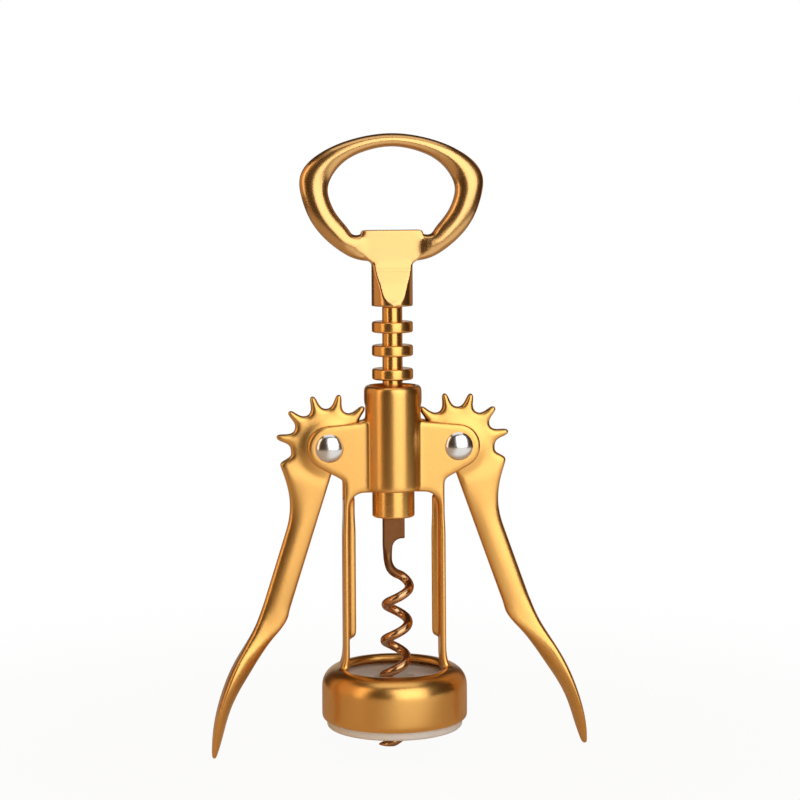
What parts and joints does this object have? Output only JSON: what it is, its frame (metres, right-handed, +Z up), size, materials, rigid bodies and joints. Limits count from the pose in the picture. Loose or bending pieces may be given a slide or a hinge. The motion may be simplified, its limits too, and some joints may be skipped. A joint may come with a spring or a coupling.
{
  "type": "winged corkscrew",
  "caption": "Winged corkscrew: two geared levers climb a ringed spindle and draw the worm; the handle is a crown-cap opener loop and the bell seats on the bottle.",
  "frame": {"origin": "centre of the bottle seat's mouth: on the worm's axis, level with the lip that rests on the bottle", "axes": "+Z up along the worm, from the bell to the opener loop; +X towards the right lever; -Y is the side seen in the picture"},
  "size_m": [0.0988, 0.038, 0.1626],
  "materials": {
    "gold": "satin gold-coloured plating on a casting",
    "rivet_chrome": "bright domed",
    "seat_plastic": "smooth milky",
    "worm_copper": "copper-coloured plating on steel wire",
    "steel": "plain"
  },
  "bodies": {
    "frame": {"frame": "gold", "bottle_seat": "seat_plastic", "left_rivet_post": "rivet_chrome", "left_rivet_cap": "rivet_chrome", "right_rivet_post": "rivet_chrome", "right_rivet_cap": "rivet_chrome"},
    "slider": {"spindle_stud": "steel"},
    "spindle": {"opener_handle": "gold", "rack_spindle": "gold", "worm": "worm_copper", "worm_pin": "gold"},
    "left_lever": {"left_lever": "gold"},
    "right_lever": {"right_lever": "gold"}
  },
  "joints": [
    {"name": "spindle_slide", "type": "slide", "parent": "frame", "child": "slider", "axis": [0, 0, 1], "range_m": [-0.028, 0.0034]},
    {"name": "handle_spin", "type": "hinge", "parent": "slider", "child": "spindle", "pos_m": [0, 0, 0.10974], "axis": [0, 0, 1], "continuous": true},
    {"name": "left_lever_pivot", "type": "hinge", "parent": "frame", "child": "left_lever", "pos_m": [-0.01694, 0, 0.0731], "axis": [0, 1, 0], "range_deg": [-16.6, 136.5]},
    {"name": "right_lever_pivot", "type": "hinge", "parent": "frame", "child": "right_lever", "pos_m": [0.01694, 0, 0.0731], "axis": [0, 1, 0], "range_deg": [-136.5, 16.6]}
  ],
  "couplings": [
    {"joint": "left_lever_pivot", "follows": "spindle_slide", "rad_per_m": -85},
    {"joint": "right_lever_pivot", "follows": "spindle_slide", "rad_per_m": 85}
  ]
}
